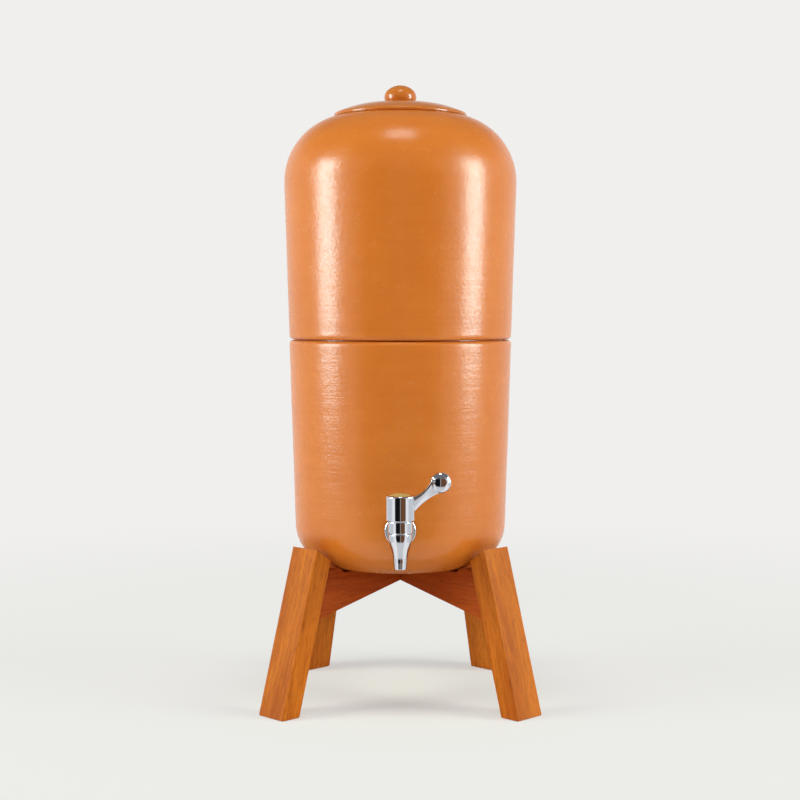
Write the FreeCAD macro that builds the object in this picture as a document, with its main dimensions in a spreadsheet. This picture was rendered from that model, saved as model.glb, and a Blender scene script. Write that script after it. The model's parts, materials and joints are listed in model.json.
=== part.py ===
import FreeCAD, Part
import math
import os
import Sketcher
from FreeCAD import Placement, Rotation, Vector

# A clay water filter: two stacked clay vessels with a lid, a lever tap low on the
# front, and a wooden stand of four splayed legs with two half-lapped boards.
# Millimetres. Z is up, the tap faces -Y, and the origin lies on the floor at the
# middle of the object's box.

doc = FreeCAD.newDocument("ClayWaterPot")

# Driving dimensions
SIZES = [
    # Places of the pot and of the stand
    ("pot_axis_y", 13.3),
    ("cross_behind_pot", 10.4),
    # Legs, in the vertical plane that each one leans in
    ("leg_width", 35.0),
    ("leg_depth", 21.5),
    ("leg_top_outer", 157.0),
    ("leg_top_inner", 145.0),
    ("front_leg_reach_low", 162.4),
    ("front_leg_reach_high", 118.3),
    ("rear_leg_reach_low", 136.0),
    ("rear_leg_reach_high", 106.6),
    ("foot_chamfer", 0.8),
    ("leg_edge_round", 1.2),
    # Crossing boards
    ("board_thickness", 20.0),
    ("board_top", 130.0),
    ("board_end_top", 134.0),
    ("board_end_low", 87.0),
    ("board_apex", 115.7),
    ("board_lap", 123.0),
    ("lap_clearance", 0.1),
    ("board_rise_radius", 84.0),
    ("dowel_radius", 4.0),
    ("dowel_low", 99.0),
    ("dowel_high", 122.0),
    ("dowel_in_leg", 12.0),
    ("dowel_in_board", 22.0),
    ("dowel_end_gap", 1.0),
    # Lower vessel
    ("base_z", 130.0),
    ("base_radius", 63.0),
    ("bottom_round", 42.0),
    ("belly_low_radius", 105.0),
    ("belly_low_z", 171.0),
    ("wall", 10.0),
    ("floor_thickness", 12.0),
    ("inner_corner_round", 24.0),
    ("seam_z", 354.8),
    ("seam_radius", 110.5),
    ("seam_round", 3.6),
    ("lower_mouth_radius", 100.8),
    ("mouth_round", 2.0),
    # Upper vessel
    ("spigot_radius", 99.6),
    ("spigot_depth", 11.8),
    ("upper_floor_top", 355.0),
    ("upper_corner_round", 12.0),
    ("upper_low_inner_radius", 100.9),
    ("shoulder_start_radius", 115.2),
    ("shoulder_start_z", 510.0),
    ("shoulder_round", 66.3),
    ("shoulder_end_radius", 68.0),
    ("shoulder_end_z", 574.0),
    ("lid_seat_radius", 66.8),
    ("lid_seat_z", 572.8),
    ("lip_round", 1.2),
    ("mouth_radius", 55.0),
    ("mouth_inner_z", 567.0),
    ("stem_hole_radius", 6.6),
    # Lid and its knob
    ("lid_radius", 65.9),
    ("lid_seat_edge", 62.4),
    ("lid_gap", 1.1),
    ("lid_lip_rise", 3.1),
    ("lid_lip_low_round", 2.3),
    ("lid_lip_high_round", 2.0),
    ("lid_lip_height", 4.9),
    ("lid_dome_start_radius", 64.4),
    ("lid_register_radius", 54.0),
    ("lid_register_thickness", 6.0),
    ("lid_register_depth", 6.8),
    ("lid_register_round", 1.0),
    ("lid_under_radius", 44.0),
    ("lid_under_z", 579.5),
    ("lid_under_edge_z", 577.5),
    ("lid_dome_round", 97.0),
    ("lid_dome_end_radius", 16.2),
    ("lid_dome_end_z", 588.2),
    ("knob_neck_radius", 14.55),
    ("knob_neck_z", 589.7),
    ("knob_neck_round", 1.8),
    ("knob_side_round", 9.5),
    ("knob_crown_start_radius", 12.42),
    ("knob_crown_start_z", 601.97),
    ("knob_top_z", 606.5),
    # Tap: reach from the pot axis, heights, and radii
    ("tap_reach", 140.0),
    ("shank_z", 177.0),
    ("shank_radius", 6.5),
    ("shank_end", 78.0),
    ("shank_bore", 4.0),
    ("shank_hole_radius", 7.2),
    ("seat_face_radius", 16.0),
    ("outer_seat", 104.2),
    ("inner_seat", 96.0),
    ("washer_thickness", 2.0),
    ("washer_radius", 13.0),
    ("washer_bore", 6.7),
    ("flange_thickness", 3.0),
    ("flange_radius", 14.9),
    ("neck_radius", 7.6),
    ("neck_start", 6.5),
    ("nut_thickness", 8.0),
    ("nut_corner_radius", 13.8),
    ("barrel_radius", 11.5),
    ("barrel_top", 191.1),
    ("barrel_groove_z", 180.0),
    ("groove_height", 0.6),
    ("groove_depth", 2.5),
    ("tap_edge_round", 0.8),
    ("chamber_radius", 7.5),
    ("chamber_floor", 172.0),
    ("bonnet_radius", 9.5),
    ("bonnet_low", 187.2),
    ("bonnet_bore", 4.3),
    ("stem_seal_rise", 1.2),
    ("stem_seal_height", 1.7),
    ("stem_ring_round", 0.75),
    ("spout_tip_z", 146.2),
    ("spout_tip_radius", 5.9),
    ("spout_bore", 4.2),
    ("spout_throat_radius", 6.4),
    ("spout_throat_z", 153.0),
    ("spout_flare_round", 34.8),
    ("bulb_low_radius", 9.1),
    ("bulb_low_z", 166.5),
    ("bulb_round", 25.0),
    ("bulb_top_radius", 10.8),
    ("plug_clearance", 0.05),
    ("plug_end_gap", 0.1),
    ("plug_land", 1.1),
    ("plug_seal_height", 2.6),
    ("plug_seal_depth", 2.4),
    ("plug_ring_round", 1.15),
    ("ring_gap", 0.1),
    ("stem_radius", 4.2),
    ("stem_top", 206.0),
    ("port_radius", 3.5),
    ("screw_radius", 1.55),
    ("screw_length", 9.0),
    ("screw_hole_depth", 10.0),
    ("screw_head_radius", 3.2),
    ("screw_head_rise", 4.0),
    ("screw_head_height", 2.6),
    ("screw_head_bevel", 0.6),
    ("screw_slot_half", 0.4),
    ("screw_slot_depth", 1.0),
    ("screw_fit", 0.05),
    ("screw_clearance", 0.2),
    # Tap handle
    ("handle_radius", 13.4),
    ("handle_low", 191.4),
    ("handle_top", 214.8),
    ("handle_top_round", 1.8),
    ("cap_radius", 9.5),
    ("cap_low", 213.2),
    ("cap_side", 1.3),
    ("cap_bevel", 0.3),
    ("cap_rise", 1.6),
    ("cap_clearance", 0.1),
    ("ball_out", 37.0),
    ("ball_z", 226.3),
    ("ball_radius", 9.7),
    ("ball_half_depth", 6.0),
    ("arm_thickness", 9.0),
    ("arm_root_radius", 11.5),
    ("arm_root_low", 197.4),
    ("arm_root_high", 214.3),
    ("arm_low_round", 60.0),
    ("arm_high_round", 25.0),
    ("arm_end_low", 217.2),
    ("arm_end_high", 230.3),
    ("arm_end_near", 28.8),
    ("arm_end_top", 231.0),
    ("arm_chamfer", 1.4),
    # Filter candle
    ("candle_radius", 25.0),
    ("candle_wall", 7.0),
    ("candle_seat_z", 362.0),
    ("candle_straight_top", 440.0),
    ("candle_foot_radius", 27.5),
    ("candle_foot_low", 357.0),
    ("candle_foot_top", 370.0),
    ("candle_stem_radius", 6.0),
    ("candle_stem_low", 316.0),
    ("candle_stem_bore", 2.0),
    ("candle_boss_height", 5.0),
    ("candle_boss_gap", 0.3),
    ("candle_cup_gap", 0.2),
    ("candle_washer_gap", 0.2),
    ("candle_washer_radius", 14.0),
    ("core_radius", 14.0),
    ("core_height", 60.0),
    ("wing_hub_radius", 10.0),
    ("wing_hub_height", 10.0),
    ("wing_reach", 19.0),
    ("wing_thickness", 4.0),
    ("wing_root", 8.5),
    ("wing_height", 8.0),
    ("wing_lift", 1.0),
    # Float valve
    ("housing_radius", 9.0),
    ("housing_low", 300.0),
    ("housing_top", 326.0),
    ("valve_guide_radius", 3.3),
    ("valve_chamber_radius", 4.8),
    ("valve_seat_thickness", 3.0),
    ("outlet_rise", 8.0),
    ("outlet_radius", 2.0),
    ("ear_gap", 0.3),
    ("ear_thickness", 2.0),
    ("ear_half_width", 2.4),
    ("ear_drop", 3.0),
    ("ear_overlap", 2.0),
    ("pivot_back", 6.0),
    ("pivot_z", 296.0),
    ("pin_radius", 1.2),
    ("pin_half_length", 5.2),
    ("pin_clearance", 0.05),
    ("float_reach", 62.0),
    ("float_radius", 20.0),
    ("float_droop", 45.0),
    ("float_arm_thickness", 3.0),
    ("float_arm_width", 4.4),
    ("float_boss_radius", 2.6),
    ("float_gap", 0.4),
    ("stub_radius", 1.6),
    ("stub_inset", 2.0),
    ("stub_length", 12.0),
    ("socket_depth", 11.0),
    ("plunger_tip_z", 293.4),
    ("plunger_tip_flat", 0.8),
    ("plunger_taper", 4.0),
    ("plunger_radius", 3.0),
    ("plunger_head_rise", 5.5),
    ("plunger_head_height", 5.0),
    ("plunger_head_radius", 4.3),
    ("plunger_head_bevel", 1.0),
]

sheet = doc.addObject("Spreadsheet::Sheet", "Sizes")
for row, (alias, value) in enumerate(SIZES, start=1):
    sheet.set(f"A{row}", alias)
    sheet.set(f"B{row}", str(value))
    sheet.setAlias(f"B{row}", alias)
doc.recompute()


def number_of(value):
    return value.number if isinstance(value, Size) else value


def text_of(value):
    return value.text if isinstance(value, Size) else repr(value)


class Size:
    """A length as a number, with the sheet expression that gives it."""

    def __init__(self, number, text):
        self.number = number
        self.text = text

    def joined(self, number, left, sign, right):
        return Size(number, f"({text_of(left)} {sign} {text_of(right)})")

    def __add__(self, other):
        return self.joined(self.number + number_of(other), self, "+", other)

    def __sub__(self, other):
        return self.joined(self.number - number_of(other), self, "-", other)

    def __mul__(self, other):
        return self.joined(self.number * number_of(other), self, "*", other)

    def __truediv__(self, other):
        return self.joined(self.number / number_of(other), self, "/", other)

    def __neg__(self):
        return self.joined(-self.number, -1.0, "*", self)


class Sheet:
    """The driving dimensions by name."""


size = Sheet()
for alias, value in SIZES:
    setattr(size, alias, Size(value, f"Sizes.{alias}"))


# Helpers for bodies, sketches and features
def make_body(label, place=None):
    body = doc.addObject("PartDesign::Body", label)
    body.Label = label
    body.Placement = place if place else Placement()
    return body


def make_sketch(body, name, role, offset=0.0):
    plane = [item for item in body.Origin.OriginFeatures if item.Role == role][0]
    sketch = body.newObject("Sketcher::SketchObject", name)
    sketch.AttachmentSupport = [(plane, "")]
    sketch.MapMode = "FlatFace"
    sketch.AttachmentOffset = Placement(Vector(0, 0, number_of(offset)), Rotation())
    if isinstance(offset, Size):
        sketch.setExpression("AttachmentOffset.Base.z", offset.text)
    return sketch


def fix_point(sketch, edge, point, u, v):
    """Hold a point at (u, v) from the sketch's own origin."""
    for kind, value, axis in (("DistanceX", u, -2), ("DistanceY", v, -1)):
        if number_of(value) == 0:
            sketch.addConstraint(Sketcher.Constraint("PointOnObject", edge, point, axis))
            continue
        index = sketch.addConstraint(
            Sketcher.Constraint(kind, -1, 1, edge, point, number_of(value)))
        if isinstance(value, Size):
            sketch.setExpression(f"Constraints[{index}]", value.text)


def fix_radius(sketch, edge, radius):
    index = sketch.addConstraint(Sketcher.Constraint("Radius", edge, number_of(radius)))
    if isinstance(radius, Size):
        sketch.setExpression(f"Constraints[{index}]", radius.text)


def arc_between(start, end, radius, turn):
    """The shorter arc from start to end that turns left or right."""
    across = end - start
    middle = start + across * 0.5
    rise = math.sqrt(max(radius ** 2 - (across.Length / 2) ** 2, 0.0))
    left = Vector(-across.y, across.x, 0).normalize()
    centre = middle + left * (rise if turn == "left" else -rise)
    first, last = (start, end) if turn == "left" else (end, start)
    angle_first = math.atan2(first.y - centre.y, first.x - centre.x)
    angle_last = math.atan2(last.y - centre.y, last.x - centre.x)
    circle = Part.Circle(centre, Vector(0, 0, 1), radius)
    return Part.ArcOfCircle(circle, angle_first, angle_last)


def draw_outline(sketch, steps):
    """Draw a closed outline. A step (u, v) is a straight run to that corner, and
    (u, v, radius, turn) is an arc to it. The first step is the starting corner,
    and the last run closes the outline."""
    corners = [Vector(number_of(step[0]), number_of(step[1]), 0) for step in steps]
    ends = []
    for index, start in enumerate(corners):
        following = (index + 1) % len(corners)
        step = steps[following]
        if len(step) == 2:
            edge = sketch.addGeometry(Part.LineSegment(start, corners[following]))
            ends.append((edge, 1, 2))
            continue
        arc = arc_between(start, corners[following], number_of(step[2]), step[3])
        edge = sketch.addGeometry(arc)
        fix_radius(sketch, edge, step[2])
        ends.append((edge, 1, 2) if step[3] == "left" else (edge, 2, 1))
    for index, (edge, first, last) in enumerate(ends):
        before, before_first, before_last = ends[index - 1]
        joint = Sketcher.Constraint("Coincident", before, before_last, edge, first)
        sketch.addConstraint(joint)
        fix_point(sketch, edge, first, steps[index][0], steps[index][1])


def crown_round(half_width, rise):
    """The radius of a shallow dome whose centre lies on the axis."""
    return (half_width * half_width + rise * rise) / (rise * 2.0)


def draw_circle(sketch, u, v, radius):
    place = Vector(number_of(u), number_of(v), 0)
    edge = sketch.addGeometry(Part.Circle(place, Vector(0, 0, 1), number_of(radius)))
    fix_point(sketch, edge, 3, u, v)
    fix_radius(sketch, edge, radius)


def revolve(body, name, steps):
    """Turn an outline of (radius, height) about the body's own Z axis."""
    sketch = make_sketch(body, name + "_outline", "XZ_Plane")
    draw_outline(sketch, steps)
    feature = body.newObject("PartDesign::Revolution", name)
    feature.Profile = sketch
    feature.ReferenceAxis = (sketch, ["V_Axis"])
    feature.Angle = 360
    doc.recompute()
    return feature


def pad(body, name, sketch, length, both_sides=False, back=False):
    feature = body.newObject("PartDesign::Pad", name)
    feature.Profile = sketch
    feature.Length = number_of(length)
    if isinstance(length, Size):
        feature.setExpression("Length", length.text)
    feature.Midplane = both_sides
    feature.Reversed = back
    doc.recompute()
    return feature


def pocket(body, name, sketch, length, along_normal=False):
    """Cut to a length, against the sketch's normal unless along_normal is set."""
    before = body.Shape.Volume
    feature = body.newObject("PartDesign::Pocket", name)
    feature.Profile = sketch
    feature.Length = number_of(length)
    if isinstance(length, Size):
        feature.setExpression("Length", length.text)
    feature.Reversed = along_normal
    doc.recompute()
    if body.Shape.Volume > before - 1.0:
        raise RuntimeError(f"{name} cut nothing from {body.Label}")
    return feature


def bore(body, name, role, start, centre, radius, length, along_normal=False):
    sketch = make_sketch(body, name + "_circle", role, start)
    draw_circle(sketch, centre[0], centre[1], radius)
    return pocket(body, name, sketch, length, along_normal)


def dress(body, kind, name, base, amount, wanted):
    """Fillet or chamfer the edges of a feature that a test picks."""
    edges = []
    for index, edge in enumerate(base.Shape.Edges, start=1):
        if wanted(edge):
            edges.append(f"Edge{index}")
    feature = body.newObject("PartDesign::" + kind, name)
    feature.Base = (base, edges)
    target = "Radius" if kind == "Fillet" else "Size"
    setattr(feature, target, number_of(amount))
    if isinstance(amount, Size):
        feature.setExpression(target, amount.text)
    body.Tip = feature
    doc.recompute()
    return feature


# Frames of reference, and fixed numbers
SEMI = 0.5
BEYOND = 8.0
DIAGONAL = math.sqrt(2.0)
stand_y = size.pot_axis_y + size.cross_behind_pot
tap_y = size.pot_axis_y - size.tap_reach


def stand_place(angle):
    """The boards' crossing on the floor, with X turned towards one leg."""
    return Placement(Vector(0, stand_y.number, 0), Rotation(Vector(0, 0, 1), angle))


def pot_place():
    return Placement(Vector(0, size.pot_axis_y.number, 0), Rotation())


def shank_place():
    """On the pot axis at the shank's height, with Z pointing out along the shank."""
    point = Vector(0, size.pot_axis_y.number, size.shank_z.number)
    return Placement(point, Rotation(Vector(1, 0, 0), 90))


def tap_place():
    return Placement(Vector(0, tap_y.number, 0), Rotation())


# Stand
def inner_face(low, high, height):
    """How far the leg's inner face is from the crossing at a height."""
    return low - size.leg_depth * SEMI - (low - high) * height / size.leg_top_outer


def make_leg(label, angle, low, high):
    body = make_body(label, stand_place(angle))
    sketch = make_sketch(body, label + "_side", "XZ_Plane")
    half = size.leg_depth * SEMI
    draw_outline(sketch, [
        (low - half, 0),
        (low + half, 0),
        (high + half, size.leg_top_outer),
        (inner_face(low, high, size.leg_top_inner), size.leg_top_inner),
    ])
    block = pad(body, label + "_block", sketch, size.leg_width, both_sides=True)

    def on_floor(edge):
        return edge.BoundBox.ZMax < 0.01

    def along_grain(edge):
        return abs(edge.tangentAt(edge.FirstParameter).z) > 0.5

    cut = dress(body, "Chamfer", label + "_foot", block, size.foot_chamfer, on_floor)
    dress(body, "Fillet", label + "_edges", cut, size.leg_edge_round, along_grain)
    for name, height in (("low", size.dowel_low), ("high", size.dowel_high)):
        face = inner_face(low, high, height)
        start = face - size.leg_depth
        bore(body, f"{label}_dowel_{name}", "YZ_Plane", start, (0, height),
             size.dowel_radius, size.leg_depth + size.dowel_in_leg, along_normal=True)
    return body


LEGS = [
    ("leg_front_left", 225, size.front_leg_reach_low, size.front_leg_reach_high),
    ("leg_front_right", 315, size.front_leg_reach_low, size.front_leg_reach_high),
    ("leg_rear_left", 135, size.rear_leg_reach_low, size.rear_leg_reach_high),
    ("leg_rear_right", 45, size.rear_leg_reach_low, size.rear_leg_reach_high),
]


def make_board(label, angle, notch_on_top):
    """A board from a front leg, on the -X side, to the rear leg across from it."""
    body = make_body(label, stand_place(angle))
    front = (size.front_leg_reach_low, size.front_leg_reach_high)
    rear = (size.rear_leg_reach_low, size.rear_leg_reach_high)
    notch = size.board_thickness * SEMI + size.lap_clearance
    offset = size.cross_behind_pot / DIAGONAL
    front_rise = size.board_rise_radius + offset
    rear_rise = size.board_rise_radius - offset
    rise = size.board_end_top - size.board_top
    slope = (size.board_apex - size.board_end_low) / inner_face(*front, size.board_end_low)
    notch_edge = size.board_apex - notch * slope
    if notch_on_top:
        under = [(0, size.board_apex)]
        over = [
            (notch, size.board_top),
            (notch, size.board_lap),
            (-notch, size.board_lap),
            (-notch, size.board_top),
        ]
    else:
        under = [
            (-notch, notch_edge),
            (-notch, size.board_lap),
            (notch, size.board_lap),
            (notch, notch_edge),
        ]
        over = []
    steps = [(-inner_face(*front, size.board_end_low), size.board_end_low)]
    steps += under
    steps += [
        (inner_face(*rear, size.board_end_low), size.board_end_low),
        (inner_face(*rear, size.board_end_top), size.board_end_top),
        (rear_rise, size.board_end_top),
        (rear_rise - rise, size.board_top),
    ]
    steps += over
    steps += [
        (rise - front_rise, size.board_top),
        (-front_rise, size.board_end_top),
        (-inner_face(*front, size.board_end_top), size.board_end_top),
    ]
    sketch = make_sketch(body, label + "_side", "XZ_Plane")
    draw_outline(sketch, steps)
    pad(body, label + "_plank", sketch, size.board_thickness, both_sides=True)
    for name, height in (("low", size.dowel_low), ("high", size.dowel_high)):
        depth = size.leg_depth + size.dowel_in_board
        front_start = size.leg_depth + inner_face(*front, height)
        rear_start = size.leg_depth + inner_face(*rear, height)
        bore(body, f"{label}_front_{name}", "YZ_Plane", -front_start, (0, height),
             size.dowel_radius, depth, along_normal=True)
        bore(body, f"{label}_rear_{name}", "YZ_Plane", rear_start, (0, height),
             size.dowel_radius, depth)
    return body


def make_dowels(label):
    dowels = []
    length = size.dowel_in_leg + size.dowel_in_board - size.dowel_end_gap * 2.0
    for _, angle, low, high in LEGS:
        for height in (size.dowel_low, size.dowel_high):
            dowel = doc.addObject("Part::Cylinder", f"dowel_{len(dowels)}")
            dowel.setExpression("Radius", size.dowel_radius.text)
            dowel.setExpression("Height", length.text)
            start = inner_face(low, high, height) - size.dowel_in_board + size.dowel_end_gap
            local = Placement(Vector(start.number, 0, height.number),
                              Rotation(Vector(0, 1, 0), 90))
            dowel.Placement = stand_place(angle).multiply(local)
            dowels.append(dowel)
    group = doc.addObject("Part::Compound", label)
    group.Label = label
    group.Links = dowels
    doc.recompute()
    return group


# Clay vessels and lid
def make_lower_pot(label):
    body = make_body(label, pot_place())
    floor = size.base_z + size.floor_thickness
    corner = size.inner_corner_round
    inside = size.belly_low_radius - size.wall
    mouth_edge = size.lower_mouth_radius + size.mouth_round
    revolve(body, label + "_shell", [
        (0, size.base_z),
        (size.base_radius, size.base_z),
        (size.belly_low_radius, size.belly_low_z, size.bottom_round, "left"),
        (size.seam_radius, size.seam_z - size.seam_round),
        (size.seam_radius - size.seam_round, size.seam_z, size.seam_round, "left"),
        (mouth_edge, size.seam_z),
        (size.lower_mouth_radius, size.seam_z - size.mouth_round, size.mouth_round, "left"),
        (inside, floor + corner),
        (inside - corner, floor, corner, "right"),
        (0, floor),
    ])
    reach = size.base_radius
    bore(body, label + "_tap_hole", "XZ_Plane", reach, (0, size.shank_z),
         size.shank_hole_radius, reach, along_normal=True)
    bore(body, label + "_outer_seat", "XZ_Plane", size.outer_seat, (0, size.shank_z),
         size.seat_face_radius, size.wall, along_normal=True)
    bore(body, label + "_inner_seat", "XZ_Plane", size.inner_seat, (0, size.shank_z),
         size.seat_face_radius, size.wall)
    return body


def make_upper_pot(label):
    body = make_body(label, pot_place())
    low = size.seam_z - size.spigot_depth
    small = size.mouth_round
    corner = size.upper_corner_round
    inside = size.upper_low_inner_radius
    revolve(body, label + "_shell", [
        (size.stem_hole_radius, low),
        (size.spigot_radius - small, low),
        (size.spigot_radius, low + small, small, "left"),
        (size.spigot_radius, size.seam_z),
        (size.seam_radius - size.seam_round, size.seam_z),
        (size.seam_radius, size.seam_z + size.seam_round, size.seam_round, "left"),
        (size.shoulder_start_radius, size.shoulder_start_z),
        (size.shoulder_end_radius, size.shoulder_end_z, size.shoulder_round, "left"),
        (size.lid_seat_radius, size.lid_seat_z, size.lip_round, "left"),
        (size.mouth_radius + small, size.lid_seat_z),
        (size.mouth_radius, size.lid_seat_z - small, small, "left"),
        (size.mouth_radius, size.mouth_inner_z),
        (size.shoulder_start_radius - size.wall, size.shoulder_start_z,
         size.shoulder_round - size.wall, "right"),
        (inside, size.upper_floor_top + corner),
        (inside - corner, size.upper_floor_top, corner, "right"),
        (size.stem_hole_radius, size.upper_floor_top),
    ])
    return body


def make_lid(label):
    body = make_body(label, pot_place())
    seat = size.lid_seat_z
    register_low = seat - size.lid_register_depth
    hollow = size.lid_register_radius - size.lid_register_thickness
    edge = size.lid_register_round
    under_rise = size.lid_under_z - size.lid_under_edge_z
    knob_rise = size.knob_top_z - size.knob_crown_start_z
    revolve(body, label + "_turned", [
        (0, size.lid_under_z),
        (size.lid_under_radius, size.lid_under_edge_z,
         crown_round(size.lid_under_radius, under_rise), "right"),
        (hollow, register_low),
        (size.lid_register_radius - edge, register_low),
        (size.lid_register_radius, register_low + edge, edge, "left"),
        (size.lid_register_radius, seat),
        (size.lid_seat_edge, seat),
        (size.lid_seat_edge + size.lid_gap, seat + size.lid_gap),
        (size.lid_radius, seat + size.lid_lip_rise, size.lid_lip_low_round, "left"),
        (size.lid_dome_start_radius, seat + size.lid_lip_height,
         size.lid_lip_high_round, "left"),
        (size.lid_dome_end_radius, size.lid_dome_end_z, size.lid_dome_round, "left"),
        (size.knob_neck_radius, size.knob_neck_z, size.knob_neck_round, "right"),
        (size.knob_crown_start_radius, size.knob_crown_start_z, size.knob_side_round, "left"),
        (0, size.knob_top_z, crown_round(size.knob_crown_start_radius, knob_rise), "left"),
    ])
    return body


# Tap
def make_ring(label, inner, outer, low, high, place):
    body = make_body(label, place)
    revolve(body, label + "_ring", [(inner, low), (outer, low), (outer, high), (inner, high)])
    return body


def make_flange(label):
    body = make_body(label, shank_place())
    low = size.outer_seat + size.washer_thickness
    high = low + size.flange_thickness
    bevel = size.flange_thickness * SEMI
    revolve(body, label + "_disc", [
        (size.washer_bore, low),
        (size.flange_radius, low),
        (size.flange_radius, low + bevel),
        (size.flange_radius - bevel, high, bevel, "left"),
        (size.washer_bore, high),
    ])
    return body


def make_nut(label):
    body = make_body(label, shank_place())
    high = size.inner_seat - size.washer_thickness
    sketch = make_sketch(body, label + "_hexagon", "XY_Plane", high - size.nut_thickness)
    corners = []
    for index in range(6):
        angle = math.radians(60 * index)
        u = size.nut_corner_radius * round(math.cos(angle), 9)
        v = size.nut_corner_radius * round(math.sin(angle), 9)
        corners.append((u, v))
    draw_outline(sketch, corners)
    pad(body, label + "_block", sketch, size.nut_thickness)
    bore(body, label + "_thread", "XY_Plane", high, (0, 0), size.shank_radius, size.nut_thickness)
    return body


def make_tap_body(label):
    """One casting: valve barrel, bulb and nozzle below it, neck and threaded shank."""
    body = make_body(label, tap_place())
    tip = size.spout_tip_z
    edge = size.tap_edge_round
    groove = size.barrel_groove_z
    bulb_top = groove - size.groove_height
    groove_root = size.bulb_top_radius - size.groove_depth
    revolve(body, label + "_barrel", [
        (size.spout_bore, tip),
        (size.spout_tip_radius - edge, tip),
        (size.spout_tip_radius, tip + edge, edge, "left"),
        (size.spout_throat_radius, size.spout_throat_z),
        (size.bulb_low_radius, size.bulb_low_z, size.spout_flare_round, "right"),
        (size.bulb_top_radius, bulb_top - edge, size.bulb_round, "left"),
        (size.bulb_top_radius - edge, bulb_top, edge, "left"),
        (groove_root, bulb_top),
        (groove_root, groove),
        (size.barrel_radius - edge, groove),
        (size.barrel_radius, groove + edge, edge, "left"),
        (size.barrel_radius, size.barrel_top - edge),
        (size.barrel_radius - edge, size.barrel_top, edge, "left"),
        (size.spout_bore, size.barrel_top),
    ])
    flange_face = size.outer_seat + size.washer_thickness + size.flange_thickness
    neck_length = size.tap_reach - flange_face
    inside = size.neck_start
    neck = make_sketch(body, label + "_neck_circle", "XZ_Plane", -inside)
    draw_circle(neck, 0, size.shank_z, size.neck_radius)
    pad(body, label + "_neck", neck, neck_length - inside, back=True)
    shank = make_sketch(body, label + "_shank_circle", "XZ_Plane", -inside)
    draw_circle(shank, 0, size.shank_z, size.shank_radius)
    shank_length = size.tap_reach - size.shank_end
    pad(body, label + "_shank", shank, shank_length - inside, back=True)
    bore(body, label + "_inlet", "XZ_Plane", -shank_length, (0, size.shank_z),
         size.shank_bore, shank_length, along_normal=True)
    bore(body, label + "_chamber", "XY_Plane", size.barrel_top, (0, 0),
         size.chamber_radius, size.barrel_top - size.chamber_floor)
    bore(body, label + "_bonnet_seat", "XY_Plane", size.barrel_top, (0, 0),
         size.bonnet_radius, size.barrel_top - size.bonnet_low)
    return body


def make_bonnet(label):
    body = make_body(label, tap_place())
    low = size.bonnet_low
    high = size.barrel_top
    seal_low = low + size.stem_seal_rise
    seal_high = seal_low + size.stem_seal_height
    seal_radius = size.bonnet_bore + size.stem_seal_height
    revolve(body, label + "_ring", [
        (size.bonnet_bore, low),
        (size.bonnet_radius, low),
        (size.bonnet_radius, high),
        (size.bonnet_bore, high),
        (size.bonnet_bore, seal_high),
        (seal_radius, seal_high),
        (seal_radius, seal_low),
        (size.bonnet_bore, seal_low),
    ])
    return body


def make_spindle(label):
    body = make_body(label, tap_place())
    plug = size.chamber_radius - size.plug_clearance
    low = size.chamber_floor + size.plug_end_gap
    top = size.bonnet_low - size.plug_end_gap
    seal_high = top - size.plug_land
    seal_low = seal_high - size.plug_seal_height
    groove = plug - size.plug_seal_depth
    revolve(body, label + "_plug", [
        (0, low),
        (plug, low),
        (plug, seal_low),
        (groove, seal_low),
        (groove, seal_high),
        (plug, seal_high),
        (plug, top),
        (size.stem_radius, top),
        (size.stem_radius, size.stem_top),
        (0, size.stem_top),
    ])
    bore(body, label + "_down_port", "XY_Plane", low, (0, 0), size.port_radius,
         size.shank_z - low, along_normal=True)
    bore(body, label + "_side_port", "YZ_Plane", 0.0, (0, size.shank_z), size.port_radius,
         size.chamber_radius)
    bore(body, label + "_screw_hole", "XY_Plane", size.stem_top, (0, 0),
         size.screw_radius + size.screw_fit, size.screw_hole_depth)
    return body


def make_o_rings(label):
    plug_seal = size.bonnet_low - size.plug_end_gap - size.plug_land - size.plug_seal_height * SEMI
    stem_seal = size.bonnet_low + size.stem_seal_rise + size.stem_seal_height * SEMI
    plug_ring = size.chamber_radius - size.plug_ring_round - size.ring_gap
    stem_ring = size.stem_radius + size.stem_ring_round + size.ring_gap
    rings = []
    for name, middle, thick, height in (
            ("plug_seal", plug_ring, size.plug_ring_round, plug_seal),
            ("stem_seal", stem_ring, size.stem_ring_round, stem_seal)):
        torus = doc.addObject("Part::Torus", name)
        torus.setExpression("Radius1", middle.text)
        torus.setExpression("Radius2", thick.text)
        torus.Placement = Placement(Vector(0, tap_y.number, height.number), Rotation())
        rings.append(torus)
    group = doc.addObject("Part::Compound", label)
    group.Label = label
    group.Links = rings
    doc.recompute()
    return group


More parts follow.
